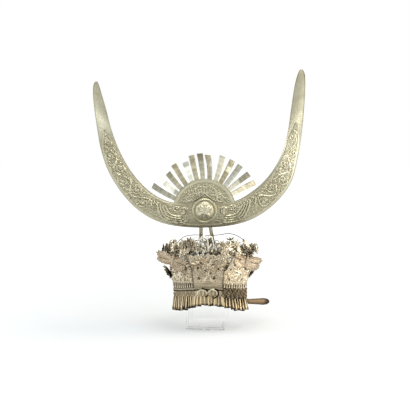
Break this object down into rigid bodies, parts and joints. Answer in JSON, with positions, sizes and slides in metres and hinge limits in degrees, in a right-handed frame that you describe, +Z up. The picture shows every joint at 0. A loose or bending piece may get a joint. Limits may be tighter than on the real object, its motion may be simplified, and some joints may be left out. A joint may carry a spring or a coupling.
{
  "type": "horned bridal headdress on a clear display stand",
  "caption": "Silver-coloured bridal headdress: embossed crescent horns with a fan of strips and a boss above a flared crown with flowers and fringe, on a clear box stand.",
  "frame": {"origin": "middle of the underside of the stand, on the surface that it stands on", "axes": "+Z up, -Y towards the front of the headdress, +X to the viewer's right"},
  "size_m": [0.4626, 0.2103, 0.5673],
  "materials": {
    "silver": "aged silver sheet, satin, with dark recesses",
    "dark_silver": "tarnished silver wire and small flowers",
    "leather": "stiff brown leather",
    "clear_acrylic": "clear, polished"
  },
  "bodies": {
    "root": {"boss": "silver", "butterfly_left": "silver", "butterfly_right": "silver", "flower_01": "dark_silver", "flower_02": "dark_silver", "flower_03": "dark_silver", "flower_04": "dark_silver", "flower_05": "dark_silver", "flower_06": "dark_silver", "flower_07": "dark_silver", "flower_08": "dark_silver", "flower_09": "dark_silver", "flower_10": "dark_silver", "flower_11": "dark_silver", "flower_12": "dark_silver", "flower_13": "dark_silver", "flower_14": "dark_silver", "flower_15": "dark_silver", "fringe_front": "dark_silver", "fringe_left": "dark_silver", "fringe_right": "dark_silver", "front_spray": "silver", "half_disc": "silver", "horn_crescent": "silver", "horn_mount": "dark_silver", "panel_back": "silver", "panel_fore_left": "silver", "panel_fore_right": "silver", "panel_front": "silver", "panel_rear_left": "silver", "panel_rear_right": "silver", "panel_side_left": "silver", "panel_side_right": "silver", "ray_01": "silver", "ray_02": "silver", "ray_03": "silver", "ray_04": "silver", "ray_05": "silver", "ray_06": "silver", "ray_07": "silver", "ray_08": "silver", "ray_09": "silver", "ray_10": "silver", "ray_11": "silver", "ray_12": "silver", "ray_13": "silver", "rim_band": "silver", "side_flower_left": "dark_silver", "side_flower_right": "dark_silver", "stand": "clear_acrylic", "tie_tongue": "leather", "top_ring": "dark_silver", "wire_hoop": "dark_silver"}
  },
  "joints": []
}
